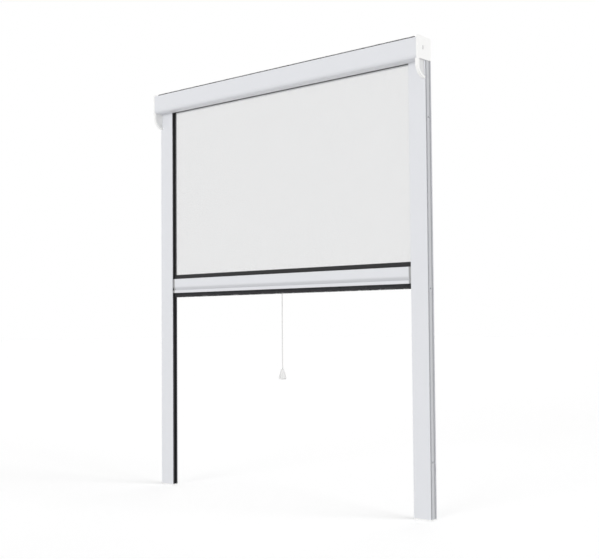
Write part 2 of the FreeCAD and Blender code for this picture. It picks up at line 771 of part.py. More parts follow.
def make_bar():
    body = part("bottom_bar", x=f"-{BAR_HALF}", y=BAR_FRONT, z="bar_level")
    section = sketch_on(body, "YZ_Plane", [bar_outline(), bar_chamber()])
    pad(body, section, f"2 * {BAR_HALF}")
    round_along_x(body, bar_corners(), "bar_corner")
    floor = "bar_brush_slot_depth"
    hole = sketch_on(
        body, "XY_Plane", circles=[(BAR_HALF, "bar_thickness / 2", "cord_hole_radius")], offset=floor
    )
    cut(body, hole, "bar_wall")


def make_bar_plug():
    """End plug: a collar of the bar's section, a spigot in the bar and a shoe in the guide."""
    body = part("bar_plug_left", x=f"-{COLLAR_HALF}", y=BAR_FRONT, z="bar_level")
    pad(body, sketch_on(body, "YZ_Plane", [bar_outline()]), "collar_length")
    round_along_x(body, bar_corners(), "bar_corner")
    spigot = sketch_on(body, "YZ_Plane", [bar_chamber("fit_gap / 2")], offset="collar_length")
    pad(body, spigot, "plug_spigot")
    middle = "bar_thickness / 2"
    shoe_start = f"({COLLAR_HALF} - {HALF} + {SHOE_START})"
    levels = ("shoe_level", "shoe_level + shoe_height")
    tongue = rectangle(f"{middle} - shoe_tongue / 2", f"{middle} + shoe_tongue / 2", *levels)
    pad(body, sketch_on(body, "YZ_Plane", [tongue], offset=shoe_start), f"-{shoe_start}")
    half_shoe = "(channel_depth / 2 - profile_wall - shoe_gap)"
    shoe = rectangle(f"{middle} - {half_shoe}", f"{middle} + {half_shoe}", *levels)
    pad(body, sketch_on(body, "YZ_Plane", [shoe], offset=shoe_start), f"{SHOE_END} - {SHOE_START}")
    mirrored("bar_plug_right", body)


def make_hem():
    """The net's black hem tape: a band above the bar and a beaded root in the bar's slot."""
    body = part("net_hem_band", x=f"-{NET_HALF}", y=NET_Y, z=BAR_TOP)
    band = rectangle("-hem_thickness / 2", "hem_thickness / 2", "0", "hem_rise")
    pad(body, sketch_on(body, "YZ_Plane", [band]), f"2 * {NET_HALF}")
    bead_middle = "(-hem_slot_depth / 2 - hem_slot_lip / 2)"
    neck_low = f"({bead_middle} + 0.8 * hem_bead_radius)"
    root = [
        ("-hem_neck / 2", "0"),
        ("-hem_neck / 2", neck_low),
        ("0", f"{bead_middle} - hem_bead_radius", "arc"),
        ("hem_neck / 2", neck_low),
        ("hem_neck / 2", "0"),
    ]
    inset = f"{NET_HALF} - {BAR_HALF}"
    pad(body, sketch_on(body, "YZ_Plane", [root], offset=inset), f"2 * {BAR_HALF}")


def make_bar_brush():
    """Bristle strip under the bar, with a hole for the pull cord at its middle."""
    body = part("bar_brush", x=f"-{COLLAR_HALF}", y=NET_Y, z="bar_level")
    drop = "bar_brush_slot_lip + bar_brush_drop"
    in_slot = [("bar_brush_slot_width - fit_gap", "backing_thickness")]
    through_mouth = [("bar_brush_slot_mouth - fit_gap", drop)]
    backing = strip_outline("0", "(bar_brush_slot_lip + backing_thickness)", "-", in_slot)
    pad(body, sketch_on(body, "YZ_Plane", [backing]), f"2 * {COLLAR_HALF}")
    bristles = strip_outline("0", "bar_brush_slot_lip", "-", through_mouth)
    pad(body, sketch_on(body, "YZ_Plane", [bristles]), f"2 * {COLLAR_HALF}")
    circle = (COLLAR_HALF, "0", "cord_hole_radius")
    hole = sketch_on(body, "XY_Plane", circles=[circle], offset="-bar_brush_drop")
    cut(body, hole, f"{drop} + backing_thickness")


# Pull cord with its knot in the bar and its bell-shaped knob


def make_cord():
    knot_low = "(bar_level + bar_brush_slot_depth + bar_wall)"
    cord = doc.addObject("Part::Cylinder", "pull_cord")
    cord.setExpression("Radius", bound("cord_radius"))
    cord.setExpression("Height", bound(f"{knot_low} - {KNOB_TOP}"))
    place(cord, y=NET_Y, z=KNOB_TOP)
    parts.append(cord)

    knot = part("cord_knot", y=NET_Y, z=knot_low)
    bulge = [(0, 0), (0.8, 0), (1, 0.5), (0.6, 1.5), (0, 1.5)]
    profile = [(f"{across} * knot_radius", f"{up} * knot_radius") for across, up in bulge]
    revolve(knot, sketch_on(knot, "XZ_Plane", [profile]))

    knob = part("pull_knob", y=NET_Y, z=f"{KNOB_TOP} - knob_height")
    bell = [(0, 0), (0.88, 0), (1, 0.1), (0.81, 0.42), (0.52, 0.85), (0.3, 1), (0, 1)]
    profile = [(f"{across} * knob_radius", f"{up} * knob_height") for across, up in bell]
    revolve(knob, sketch_on(knob, "XZ_Plane", [profile]))


def revolve(body, sketch):
    """Turns the sketch once about the body's upright axis."""
    feature = body.newObject("PartDesign::Revolution", f"{body.Label}_turned")
    feature.Profile = sketch
    feature.ReferenceAxis = (sketch, ["V_Axis"])
    feature.Angle = 360
    sketch.Visibility = False
    return feature


make_cassette()
make_cassette_brushes()
make_end_cap()
make_guides()
make_guide_piles()
make_foot_caps()
make_roller()
make_net()
make_bar()
make_bar_plug()
make_hem()
make_bar_brush()
make_cord()
doc.recompute()

for item in doc.Objects:
    if any(state in ("Invalid", "Error") for state in item.State):
        raise RuntimeError(f"{item.Label} failed: {item.State}")
for piece in parts:
    if piece.Shape.isNull() or not piece.Shape.isValid():
        raise RuntimeError(f"{piece.Label} has no valid shape")

os.makedirs("parts", exist_ok=True)
for piece in parts:
    piece.Shape.exportStep(f"parts/{piece.Label}.step")
    print(piece.Label, "solids", len(piece.Shape.Solids), "volume", round(piece.Shape.Volume, 1))
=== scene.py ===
"""Looks of the roll-up insect screen: lacquered profiles, moulded caps, bristle strips, net, cord."""

import math
import random

import bmesh
import bpy
from mathutils import Matrix, Vector


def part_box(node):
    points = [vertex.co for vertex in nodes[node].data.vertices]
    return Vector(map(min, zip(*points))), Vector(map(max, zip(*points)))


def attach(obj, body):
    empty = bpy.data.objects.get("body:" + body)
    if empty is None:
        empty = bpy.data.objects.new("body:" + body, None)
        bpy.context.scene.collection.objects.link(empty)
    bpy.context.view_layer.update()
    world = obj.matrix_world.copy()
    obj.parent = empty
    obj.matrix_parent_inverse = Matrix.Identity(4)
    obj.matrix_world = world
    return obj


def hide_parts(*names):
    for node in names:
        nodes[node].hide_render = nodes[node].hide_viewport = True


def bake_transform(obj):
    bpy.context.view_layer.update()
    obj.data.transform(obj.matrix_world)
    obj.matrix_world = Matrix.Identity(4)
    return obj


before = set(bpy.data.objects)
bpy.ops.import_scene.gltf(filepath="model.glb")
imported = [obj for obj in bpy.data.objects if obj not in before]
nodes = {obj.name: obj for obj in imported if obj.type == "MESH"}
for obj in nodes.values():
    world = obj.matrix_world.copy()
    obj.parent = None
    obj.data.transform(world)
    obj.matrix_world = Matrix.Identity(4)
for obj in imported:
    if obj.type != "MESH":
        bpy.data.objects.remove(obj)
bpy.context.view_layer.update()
scene = bpy.context.scene


# Camera

PHOTO_WIDTH = 599  # pixels
SENSOR_WIDTH = 36  # millimetres


def make_camera():
    """Stands where the photograph was taken from, as fitted to the frame's corners. The focal
    length is in pixels of the photograph, and the angles are in radians."""
    focal, yaw, pitch, roll = 1059.758, 0.7295, 0.0441, -0.0079
    stand = (1.6869, -1.8147, 0.4035)
    ahead = Vector((-math.sin(yaw) * math.cos(pitch), math.cos(yaw) * math.cos(pitch), math.sin(pitch)))
    across = Vector((math.cos(yaw), math.sin(yaw), 0))
    above = across.cross(ahead)
    right = math.cos(roll) * across + math.sin(roll) * above
    up = -math.sin(roll) * across + math.cos(roll) * above
    data = bpy.data.cameras.new("camera")
    data.sensor_fit = "HORIZONTAL"
    data.sensor_width = SENSOR_WIDTH
    data.lens = focal * SENSOR_WIDTH / PHOTO_WIDTH
    data.clip_start, data.clip_end = 0.01, 100
    camera = bpy.data.objects.new("camera", data)
    scene.collection.objects.link(camera)
    turn = Matrix((right, up, -ahead)).transposed()
    camera.matrix_world = Matrix.Translation(stand) @ turn.to_4x4()
    scene.camera = camera


make_camera()


# Materials

class Paint:
    """A node material with a Principled shader and a few short-hands."""

    def __init__(self, name, color, roughness, metallic=0.0):
        self.material = bpy.data.materials.new(name)
        self.material.use_nodes = True
        self.tree = self.material.node_tree
        self.shader = self.tree.nodes["Principled BSDF"]
        self.shader.inputs["Base Color"].default_value = (*color, 1)
        self.shader.inputs["Roughness"].default_value = roughness
        self.shader.inputs["Metallic"].default_value = metallic
        self.color = color

    def add(self, kind, **settings):
        """A new node. A setting that is no attribute of the node sets its input of that name."""
        node = self.tree.nodes.new(kind)
        for name, value in settings.items():
            if hasattr(node, name):
                setattr(node, name, value)
            else:
                node.inputs[name.replace("_", " ")].default_value = value
        return node

    def link(self, output, target):
        self.tree.links.new(output, target)

    def math(self, operation, first, second=None, third=None):
        """The output of a math node on numbers and on other nodes' outputs."""
        node = self.add("ShaderNodeMath", operation=operation)
        for index, value in enumerate((first, second, third)):
            if value is None:
                continue
            if isinstance(value, (int, float)):
                node.inputs[index].default_value = value
            else:
                self.link(value, node.inputs[index])
        return node.outputs[0]

    def place(self, scale=(1, 1, 1)):
        """Object coordinates in metres, stretched by scale."""
        coordinates = self.add("ShaderNodeTexCoord")
        mapping = self.add("ShaderNodeMapping")
        mapping.inputs["Scale"].default_value = scale
        self.link(coordinates.outputs["Object"], mapping.inputs["Vector"])
        return mapping.outputs["Vector"]

    def axes(self):
        """Object coordinates in metres, with one output each for X, Y and Z."""
        split = self.add("ShaderNodeSeparateXYZ")
        coordinates = self.add("ShaderNodeTexCoord")
        self.link(coordinates.outputs["Object"], split.inputs[0])
        return split.outputs

    def noise(self, scale, stretch=(1, 1, 1), detail=2.0):
        """A noise of scale spots to the metre, drawn out along the axes where stretch is small."""
        node = self.add("ShaderNodeTexNoise", Scale=scale, Detail=detail)
        self.link(self.place(stretch), node.inputs["Vector"])
        return node.outputs["Fac"]

    def vary_color(self, factor, dark, light):
        """Mixes the base colour between two shades of itself."""
        mix = self.add("ShaderNodeMix", data_type="RGBA")
        low, high = [slot for slot in mix.inputs if slot.type == "RGBA"]
        low.default_value = (*[c * dark for c in self.color], 1)
        high.default_value = (*[min(1, c * light) for c in self.color], 1)
        self.link(factor, mix.inputs["Factor"])
        mixed = next(output for output in mix.outputs if output.type == "RGBA")
        self.link(mixed, self.shader.inputs["Base Color"])

    def vary_roughness(self, factor, low, high):
        """Moves the roughness between low and high."""
        node = self.add("ShaderNodeMapRange")
        node.inputs["To Min"].default_value = low
        node.inputs["To Max"].default_value = high
        self.link(factor, node.inputs["Value"])
        self.link(node.outputs["Result"], self.shader.inputs["Roughness"])

    def bump(self, height, distance, strength=1.0):
        """Relief from a height of 0 to 1 that stands for a distance in metres."""
        node = self.add("ShaderNodeBump", Strength=strength, Distance=distance)
        self.link(height, node.inputs["Height"])
        self.link(node.outputs["Normal"], self.shader.inputs["Normal"])


def lacquer(name, color, recess=None):
    """Powder coat: a faint orange peel a millimetre or so across, over a finer grain. With a
    recess of (axis, near, far, share), painted shade darkens the colour from all of it at the
    distance near from the axis' zero to that share of it at the distance far."""
    paint = Paint(name, color, 0.4)
    peel = paint.noise(750, detail=1.0)
    grain = paint.noise(5200, detail=0.0)
    both = paint.math("MULTIPLY_ADD", grain, 0.25, peel)
    paint.bump(both, 0.00006)
    paint.vary_roughness(paint.noise(60), 0.36, 0.46)
    # Painted shade: the colour gets darker the deeper it lies in the recess
    if recess:
        axis, near, far, share = recess
        place = paint.axes()[axis]
        depth = paint.add("ShaderNodeMapRange")
        depth.inputs["From Min"].default_value = far
        depth.inputs["From Max"].default_value = near
        paint.link(paint.math("ABSOLUTE", place), depth.inputs["Value"])
        paint.vary_color(depth.outputs["Result"], share, 1.0)
    else:
        paint.vary_color(paint.noise(14, detail=3.0), 0.985, 1.01)
    return paint.material


def moulding(name, color, roughness=0.45):
    """Moulded plastic with a fine eroded surface."""
    paint = Paint(name, color, roughness)
    grain = paint.noise(3200, detail=2.0)
    paint.bump(grain, 0.00005)
    paint.vary_roughness(paint.noise(90), roughness - 0.05, roughness + 0.08)
    paint.vary_color(paint.noise(35), 0.975, 1.015)
    return paint.material


def bristles(name, along):
    """Dull black bristles, streaked across the strip from tuft to tuft."""
    paint = Paint(name, (0.016, 0.016, 0.018), 0.72)
    stretch = {"x": (1, 0.1, 0.1), "z": (0.1, 0.1, 1)}[along]
    paint.vary_color(paint.noise(1400, stretch, 1.0), 0.5, 2.4)
    paint.vary_roughness(paint.noise(1400, stretch), 0.62, 0.85)
    return paint.material


def threads(paint, pitch_x, pitch_z, thread):
    """Height of a plain weave in the XZ plane: crossing threads that pass over and under each
    other. Returns (height, cover), where cover is 1 on a thread and 0 in a hole."""
    place = paint.axes()
    sides = []
    for axis, pitch in (("X", pitch_x), ("Z", pitch_z)):
        # The 100 keeps the cells left of the middle above zero
        cell = paint.math("DIVIDE", place[axis], pitch)
        inside = paint.math("SUBTRACT", paint.math("FRACT", paint.math("ADD", cell, 100.5)), 0.5)
        distance = paint.math("DIVIDE", paint.math("ABSOLUTE", inside), 0.5 * thread / pitch)
        on = paint.math("LESS_THAN", distance, 1.0)
        fall = paint.math("SUBTRACT", 1.0, paint.math("POWER", distance, 2))
        crown = paint.math("SQRT", paint.math("MAXIMUM", fall, 0))
        sides.append((cell, on, crown))
    wave_x = paint.math("COSINE", paint.math("MULTIPLY", sides[1][0], math.pi))
    wave_z = paint.math("COSINE", paint.math("MULTIPLY", sides[0][0], math.pi))
    over = paint.math("MULTIPLY", wave_x, wave_z)
    upright = paint.math("MULTIPLY", sides[0][2], paint.math("MULTIPLY_ADD", over, 0.3, 0.7))
    level = paint.math("MULTIPLY", sides[1][2], paint.math("MULTIPLY_ADD", over, -0.3, 0.7))
    height = paint.math("MAXIMUM", upright, level)
    cover = paint.math("MAXIMUM", sides[0][1], sides[1][1])
    return height, cover


GUIDE_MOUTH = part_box("guide_right")[0].x
BLACK_EDGE_SHOWN = 0.0052  # past the guide's mouth


def net_weave():
    """Coated insect net: grey threads 0.28 mm thick, 1.4 mm apart, with open holes, and a closed
    black band along each side, which runs between the guide's piles and shows beside them."""
    paint = Paint("net_weave", (0.43, 0.435, 0.44), 0.55)
    height, cover = threads(paint, 0.0014, 0.0014, 0.00028)
    paint.bump(height, 0.00018, 0.25)
    from_middle = paint.math("ABSOLUTE", paint.axes()["X"])
    # The net is black along each side, from a little inside the guide's mouth outward
    black_edge = paint.math("GREATER_THAN", from_middle, GUIDE_MOUTH - BLACK_EDGE_SHOWN)
    paint.vary_color(paint.math("SUBTRACT", 1.0, black_edge), 0.05, 1.0)
    paint.link(paint.math("MAXIMUM", cover, black_edge), paint.shader.inputs["Alpha"])
    return paint.material


def wound_weave():
    """The same net wound on the roller, where the layers close the holes. It is coloured darker
    than the open net, and darker still in the holes, as painted shade of the layers beneath.
    """
    paint = Paint("net_wound", (0.2, 0.203, 0.208), 0.7)
    height, cover = threads(paint, 0.0014, 0.0014, 0.0005)
    paint.bump(height, 0.0002)
    # Painted shade: the holes are darker, as shade on the layers beneath
    paint.vary_color(cover, 0.45, 1.0)
    return paint.material


def woven_tape():
    """Black hem tape with a fine rib."""
    paint = Paint("hem_tape", (0.011, 0.011, 0.012), 0.75)
    height, _ = threads(paint, 0.0007, 0.0005, 0.00045)
    paint.bump(height, 0.00012)
    paint.vary_color(paint.noise(500), 0.7, 1.7)
    return paint.material


def steel():
    """Bright steel with faint turning marks round the shaft."""
    paint = Paint("bright_steel", (0.52, 0.52, 0.53), 0.3, 1.0)
    turned = paint.noise(900, (1, 0.05, 0.05), 2.0)
    paint.bump(turned, 0.00002)
    paint.vary_roughness(turned, 0.24, 0.42)
    return paint.material


def mill_finish():
    """Bare aluminium with die lines along the tube."""
    paint = Paint("mill_aluminium", (0.8, 0.8, 0.81), 0.35, 1.0)
    drawn = paint.noise(700, (0.02, 1, 1), 2.0)
    paint.bump(drawn, 0.00002)
    paint.vary_roughness(drawn, 0.3, 0.48)
    return paint.material


def cord_fibre():
    """White polyester yarn with fine filaments along each strand."""
    paint = Paint("cord_fibre", (0.72, 0.72, 0.71), 0.62)
    filaments = paint.noise(6500, (1, 1, 0.12), 1.0)
    paint.bump(filaments, 0.00004)
    paint.vary_color(filaments, 0.9, 1.03)
    return paint.material


LACQUER = (0.755, 0.765, 0.795)
WALL_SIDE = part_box("guide_right")[1].x
BAR_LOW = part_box("bottom_bar")[0]
CASSETTE_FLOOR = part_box("cassette")[0].z
WALL_SHADE_SHARE, GROOVE_SHADE_SHARE = 0.72, 0.8  # of the lacquer's colour
# Painted shade on the guides' wall sides: darker all over, and darker still deeper in their grooves
WALL_PAINTED_SHADE = ("X", WALL_SIDE, WALL_SIDE - 0.0022, WALL_SHADE_SHARE)
# Painted shade in the bar's finger groove, darker the deeper it lies
GROOVE_PAINTED_SHADE = ("Y", BAR_LOW.y, BAR_LOW.y + 0.001, GROOVE_SHADE_SHARE)
WHITE = lacquer("white_lacquer", LACQUER)
WALL_SHADED_WHITE = lacquer("wall_painted_shade_lacquer", tuple(WALL_SHADE_SHARE * c for c in LACQUER), WALL_PAINTED_SHADE)
GROOVE_SHADED_WHITE = lacquer("groove_painted_shade_lacquer", LACQUER, GROOVE_PAINTED_SHADE)
CAP = moulding("cap_plastic", (0.94, 0.94, 0.93), 0.42)
# Painted shade: the fins' sunk webs are coloured grey as shade
CAP_PAINTED_SHADE = moulding("cap_painted_shade_plastic", (0.74, 0.74, 0.745), 0.6)
KNOB = moulding("knob_plastic", (0.74, 0.74, 0.735), 0.4)
GREY = moulding("grey_plastic", (0.36, 0.36, 0.365), 0.5)
BRISTLE_X = bristles("bristle_level", "x")
BRISTLE_Z = bristles("bristle_upright", "z")
STEEL, MILL, CORD = steel(), mill_finish(), cord_fibre()
NET, WOUND, TAPE = net_weave(), wound_weave(), woven_tape()


# Helpers for shapes

def new_object(name, mesh, paint, smooth=True):
    """An object in the scene with one material."""
    thing = bpy.data.objects.new(name, mesh)
    scene.collection.objects.link(thing)
    mesh.materials.clear()
    mesh.materials.append(paint)
    if smooth:
        mesh.polygons.foreach_set("use_smooth", [True] * len(mesh.polygons))
    return thing


def coat(node, paint):
    """Gives a CAD piece its material."""
    thing = nodes[node]
    thing.data.materials.clear()
    thing.data.materials.append(paint)


def eased(node, paint, body, width, segments=2):
    """A copy of a CAD piece with its sharp edges eased by a small radius, as on the real piece.
    Vertices closer than weld and edges flatter than flat are joined first."""
    weld, flat, sharp = 2e-6, math.radians(0.6), math.radians(35)
    source = nodes[node]
    mesh = bpy.data.meshes.new(f"{node}_eased")
    bm = bmesh.new()
    bm.from_mesh(source.data)
    bmesh.ops.remove_doubles(bm, verts=bm.verts, dist=weld)
    bmesh.ops.dissolve_limit(
        bm, angle_limit=flat, verts=bm.verts, edges=bm.edges, use_dissolve_boundaries=False
    )
    bm.to_mesh(mesh)
    bm.free()
    thing = new_object(f"{node}_eased", mesh, paint)
    bevel = thing.modifiers.new("ease", "BEVEL")
    bevel.width = width
    bevel.segments = segments
    bevel.limit_method = "ANGLE"
    bevel.angle_limit = sharp
    bevel.use_clamp_overlap = True
    weigh = thing.modifiers.new("weigh", "WEIGHTED_NORMAL")
    weigh.mode = "FACE_AREA"
    weigh.weight = 100
    depsgraph = bpy.context.evaluated_depsgraph_get()
    baked = bpy.data.meshes.new_from_object(thing.evaluated_get(depsgraph))
    thing.modifiers.clear()
    thing.data = baked
    baked.name = f"{node}_eased"
    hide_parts(node)
    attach(thing, body)
    return thing


def tufts(bm, start, run, grow, side, count, rows, root, tip, reach, jitter, rng):
    """Adds bristle tufts to bm. They stand in rows along run from start, and grow by reach along
    grow. root and tip are the strip's half widths along side at the foot and at the tips. jitter
    is the share of reach by which their lengths differ. Each tuft is a wedge of three faces."""
    run, grow, side = Vector(run), Vector(grow).normalized(), Vector(side).normalized()
    length = run.length
    along = run.normalized()
    step = length / count
    thick = step * 0.62
    for i in range(count):
        for row in range(rows):
            share = (row + 0.5) / rows * 2 - 1
            offset = (i + 0.5) * step + rng.uniform(-0.3, 0.3) * step
            offset = min(max(offset, thick), length - thick)
            foot = Vector(start) + along * offset + side * share * root
            lean = along * rng.gauss(0, 0.35) * step + side * rng.gauss(0, 0.12) * root
            end_share = share + rng.uniform(-0.12, 0.12)
            high = reach * (1 - abs(rng.gauss(0, jitter)))
            spread = side * max(-1, min(1, end_share)) * tip
            head = Vector(start) + along * offset + spread + grow * high + lean
            wide = max(root / rows, thick * 0.5)
            base = [
                foot - along * thick,
                foot + along * thick * 0.5 - side * wide,
                foot + along * thick * 0.5 + side * wide,
            ]
            base = [bm.verts.new(p) for p in base]
            top = [
                bm.verts.new(head - along * thick * 0.3),
                bm.verts.new(head + along * thick * 0.2 + side * wide * 0.35),
            ]
            bm.faces.new((base[0], base[1], top[0]))
            bm.faces.new((base[1], base[2], top[1], top[0]))
            bm.faces.new((base[2], base[0], top[0], top[1]))


def add_box(bm, low, high):
    """Adds a solid box between two corners, the core of a strip under its bristles."""
    made = bmesh.ops.create_cube(bm, size=1)
    low, high = Vector(low), Vector(high)
    middle, size = (low + high) / 2, high - low
    for vertex in made["verts"]:
        vertex.co = Vector(vertex.co[i] * size[i] + middle[i] for i in range(3))


def finish_brush(name, bm, paint, node, body):
    """Turns bm into a bristle piece that stands for a CAD brush."""
    bm.normal_update()
    mesh = bpy.data.meshes.new(name)
    bm.to_mesh(mesh)
    bm.free()
    thing = new_object(name, mesh, paint, smooth=False)
    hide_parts(node)
    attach(thing, body)
    return thing


# Bristle strips

BACKING = 0.0009  # thickness of the strip that holds the bristles


def strip(name, node, body, axis, sign, widths, count, rows, core, jitter, seed):
    """A bristle strip along X that grows along axis ("y" or "z"), up or down it by sign. widths are
    the half widths of its backing, of the bristles' foot and of their tips. core is the share of
    its height up to which the bristles are one closed block."""
    low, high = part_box(node)
    rng = random.Random(seed)
    grow_i, side_i = {"z": (2, 1), "y": (1, 2)}[axis]
    foot = low[grow_i] if sign > 0 else high[grow_i]
    total = high[grow_i] - low[grow_i]
    middle = (low[side_i] + high[side_i]) / 2
    backing, root, tip = widths

    def corner(x, rise, across):
        """A point at x, with rise over the strip's foot and across its middle."""
        point = [x, 0, 0]
        point[grow_i] = foot + sign * rise
        point[side_i] = middle + across
        return Vector(point)

    bm = bmesh.new()
    layers = [(0, BACKING, backing), (BACKING, core * total, root * 0.8)]
    for start, end, half in layers:
        a, b = corner(low.x, start, -half), corner(high.x, end, half)
        add_box(bm, [min(a[i], b[i]) for i in range(3)], [max(a[i], b[i]) for i in range(3)])
    direction, side = [0, 0, 0], [0, 0, 0]
    direction[grow_i], side[side_i] = sign, 1
    tufts(
        bm,
        start=corner(low.x, BACKING, 0),
        run=(high.x - low.x, 0, 0),
        grow=direction,
        side=side,
        count=count,
        rows=rows,
        root=root,
        tip=tip,
        reach=total - BACKING,
        jitter=jitter,
        rng=rng,
    )
    return finish_brush(name, bm, BRISTLE_X, node, body)


TOP_WIDTHS = (0.0028, 0.0013, 0.0019)
SLOT_WIDTHS = (0.0023, 0.0012, 0.0013)
BAR_WIDTHS = (0.0031, 0.0018, 0.0022)

strip(
    "cassette_top_bristles", "cassette_top_brush", "frame", "z", 1, TOP_WIDTHS,
    count=760, rows=3, core=0.7, jitter=0.05, seed=11,
)
for depth, sign, seed in (("front", 1, 12), ("back", -1, 13)):
    strip(
        f"slot_bristles_{depth}", f"slot_brush_{depth}", "frame", "y", sign, SLOT_WIDTHS,
        count=640, rows=2, core=0.6, jitter=0.04, seed=seed,
    )
strip(
    "bar_bristles", "bar_brush", "bar", "z", -1, BAR_WIDTHS,
    count=900, rows=4, core=0.82, jitter=0.04, seed=14,
)


def pile(name, node, sign, mouth, seed):
    """A guide's pile strip: backing in its slot, and bristles that fan out over the ribs and lap
    round the one at the guide's mouth, which lies towards mouth, +1 or -1 along X. The fan starts
    at the height rib over the backing's foot, and its closed part ends at the height fan. The
    skirt is the closed part of what laps round the rib."""
    low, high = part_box(node)
    rng = random.Random(seed)
    bm = bmesh.new()
    middle = (low.x + high.x) / 2
    foot = low.y if sign > 0 else high.y
    rib, fan, skirt_end = 0.0021, 0.0036, 0.0038
    skirt_near, skirt_far = 0.00352, 0.0054
    # Start, end and half width of each closed layer
    layers = ((0, BACKING, 0.00255), (BACKING, rib, 0.0018), (rib, fan, 0.0028))

    def level(rise):
        """Where a height over the backing's foot lies along Y."""
        return foot + sign * rise

    for start, end, half in layers:
        ends = sorted((level(start), level(end)))
        add_box(bm, (middle - half, ends[0], low.z), (middle + half, ends[1], high.z))
    skirt = sorted((middle + mouth * skirt_near, middle + mouth * skirt_far))
    ends = sorted((foot, level(skirt_end)))
    add_box(bm, (skirt[0], ends[0], low.z), (skirt[1], ends[1], high.z))
    tufts(
        bm,
        start=(middle + mouth * 0.001, level(rib), low.z),
        run=(0, 0, high.z - low.z),
        grow=(0, sign, 0),
        side=(1, 0, 0),
        count=640,
        rows=6,
        root=0.0021,
        tip=0.0048,
        reach=high.y - low.y - rib,
        jitter=0.06,
        rng=rng,
    )
    finish_brush(name, bm, BRISTLE_Z, node, "frame")


pile_seed = 24
for depth, sign in (("front", 1), ("back", -1)):
    for hand, mouth in (("left", 1), ("right", -1)):
        pile(f"guide_bristles_{depth}_{hand}", f"guide_pile_{depth}_{hand}", sign, mouth, pile_seed)
        pile_seed += 1


# Lacquered profiles and moulded pieces

GROOVE_DEPTH = 0.003  # behind the bar's front
GROOVE_FOOT, GROOVE_TOP = 0.005, 0.0165  # over the bar's lowest edge
GROOVE_LIFT = 0.0017


def repaint(thing, paint, chosen):
    """Gives the faces that chosen(centre, normal) picks another material."""
    thing.data.materials.append(paint)
    for face in thing.data.polygons:
        if chosen(face.center, face.normal):
            face.material_index = 1


def in_groove(place, normal=None):
    """Places in the finger groove along the bar's front."""
    return place.y < BAR_LOW.y + GROOVE_DEPTH and GROOVE_FOOT < place.z - BAR_LOW.z < GROOVE_TOP


def lift_groove(thing):
    """Lifts the finger groove to the height at which the photograph shows it."""
    for vertex in thing.data.vertices:
        if in_groove(vertex.co):
            vertex.co.z += GROOVE_LIFT


def on_wall_side(centre, normal):
    """Faces of a guide's side towards the wall, where the lacquer is painted darker as shade."""
    return abs(centre.x) > WALL_SIDE - 0.004 and centre.x * normal.x > 0.5 * abs(centre.x)


def on_fin_web(centre, normal):
    """Faces of the fin's web, sunk inside its rim below the cassette, which are painted grey as shade.
    """
    outward = centre.x * normal.x > 0.7 * abs(centre.x)
    return outward and abs(centre.x) < WALL_SIDE - 0.002 and centre.z < CASSETTE_FLOOR


eased("cassette", WHITE, "frame", 0.0003)
for hand in ("left", "right"):
    # Painted shade on the guides' wall sides
    repaint(eased(f"guide_{hand}", WHITE, "frame", 0.0003), WALL_SHADED_WHITE, on_wall_side)
    # Painted shade on the fins' sunk webs
    repaint(eased(f"end_cap_{hand}", CAP, "frame", 0.0006, 3), CAP_PAINTED_SHADE, on_fin_web)
    eased(f"foot_cap_{hand}", CAP, "frame", 0.0004)
    lift_groove(eased(f"bar_plug_{hand}", GREY, "bar", 0.0003))
    coat(f"roller_bush_{hand}", CAP)
bar = eased("bottom_bar", WHITE, "bar", 0.00025)
# Painted shade in the finger groove
repaint(bar, GROOVE_SHADED_WHITE, in_groove)
lift_groove(bar)
coat("spring_shaft", STEEL)
coat("torsion_spring", STEEL)
coat("idle_pin", STEEL)
coat("spring_hub", GREY)
coat("roller_tube", MILL)
coat("net_roll", WOUND)
coat("net_hem_band", TAPE)
coat("cord_knot", CORD)


# Net

def make_net():
    """One stretched sheet from the roller to the hem."""
    low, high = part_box("net_panel")
    depth = (low.y + high.y) / 2
    columns = 48
    mesh = bpy.data.meshes.new("net")
    xs = [low.x + (high.x - low.x) * i / columns for i in range(columns + 1)]
    points = [(x, depth, low.z) for x in xs] + [(x, depth, high.z) for x in xs]
    faces = [(i, i + 1, columns + 2 + i, columns + 1 + i) for i in range(columns)]
    mesh.from_pydata(points, [], faces)
    net = new_object("net", mesh, NET, smooth=False)
    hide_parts("net_panel")
    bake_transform(net)


make_net()


# Pull cord and knob

CORD_ROUTE = [(0, 0.0105, z) for z in (0.4959, 0.448, 0.4, 0.352, 0.304)]
CORD_RADIUS = 0.00125


def route_points(route):
    """Points along the smooth line of the cord's route."""
    curve = bpy.data.curves.new("cord_route", "CURVE")
    curve.dimensions = "3D"
    curve.resolution_u = 24
    spline = curve.splines.new("NURBS")
    spline.points.add(len(route) - 1)
    for point, place in zip(spline.points, route):
        point.co = (*place, 1)
    spline.order_u = 3
    spline.use_endpoint_u = True
    thing = bpy.data.objects.new("cord_route", curve)
    scene.collection.objects.link(thing)
    depsgraph = bpy.context.evaluated_depsgraph_get()
    line = bpy.data.meshes.new_from_object(thing.evaluated_get(depsgraph))
    points = [v.co.copy() for v in line.vertices]
    bpy.data.objects.remove(thing)
    return points


def resample(points, step):
    """The same line with points about step apart."""
    out, left = [points[0]], step
    for a, b in zip(points, points[1:]):
        gap = (b - a).length
        while gap >= left and gap > 0:
            a = a + (b - a) * (left / gap)
            out.append(a)
            gap, left = (b - a).length, step
        left -= gap
    if (out[-1] - points[-1]).length > step * 0.3:
        out.append(points[-1])
    return out


def braid(turn, run):
    """Height of the braid, 0 to 1, at an angle round the cord and a distance along it: four
    strands wound each way, that pass over and under one another."""
    strands, pitch = 4, 0.011
    lead = 2 * math.pi * run / pitch
    right = abs(math.cos(strands / 2 * (turn - lead)))
    left = abs(math.cos(strands / 2 * (turn + lead)))
    over = math.cos(strands * turn)
    return max(right * (0.82 + 0.18 * over), left * (0.82 - 0.18 * over))


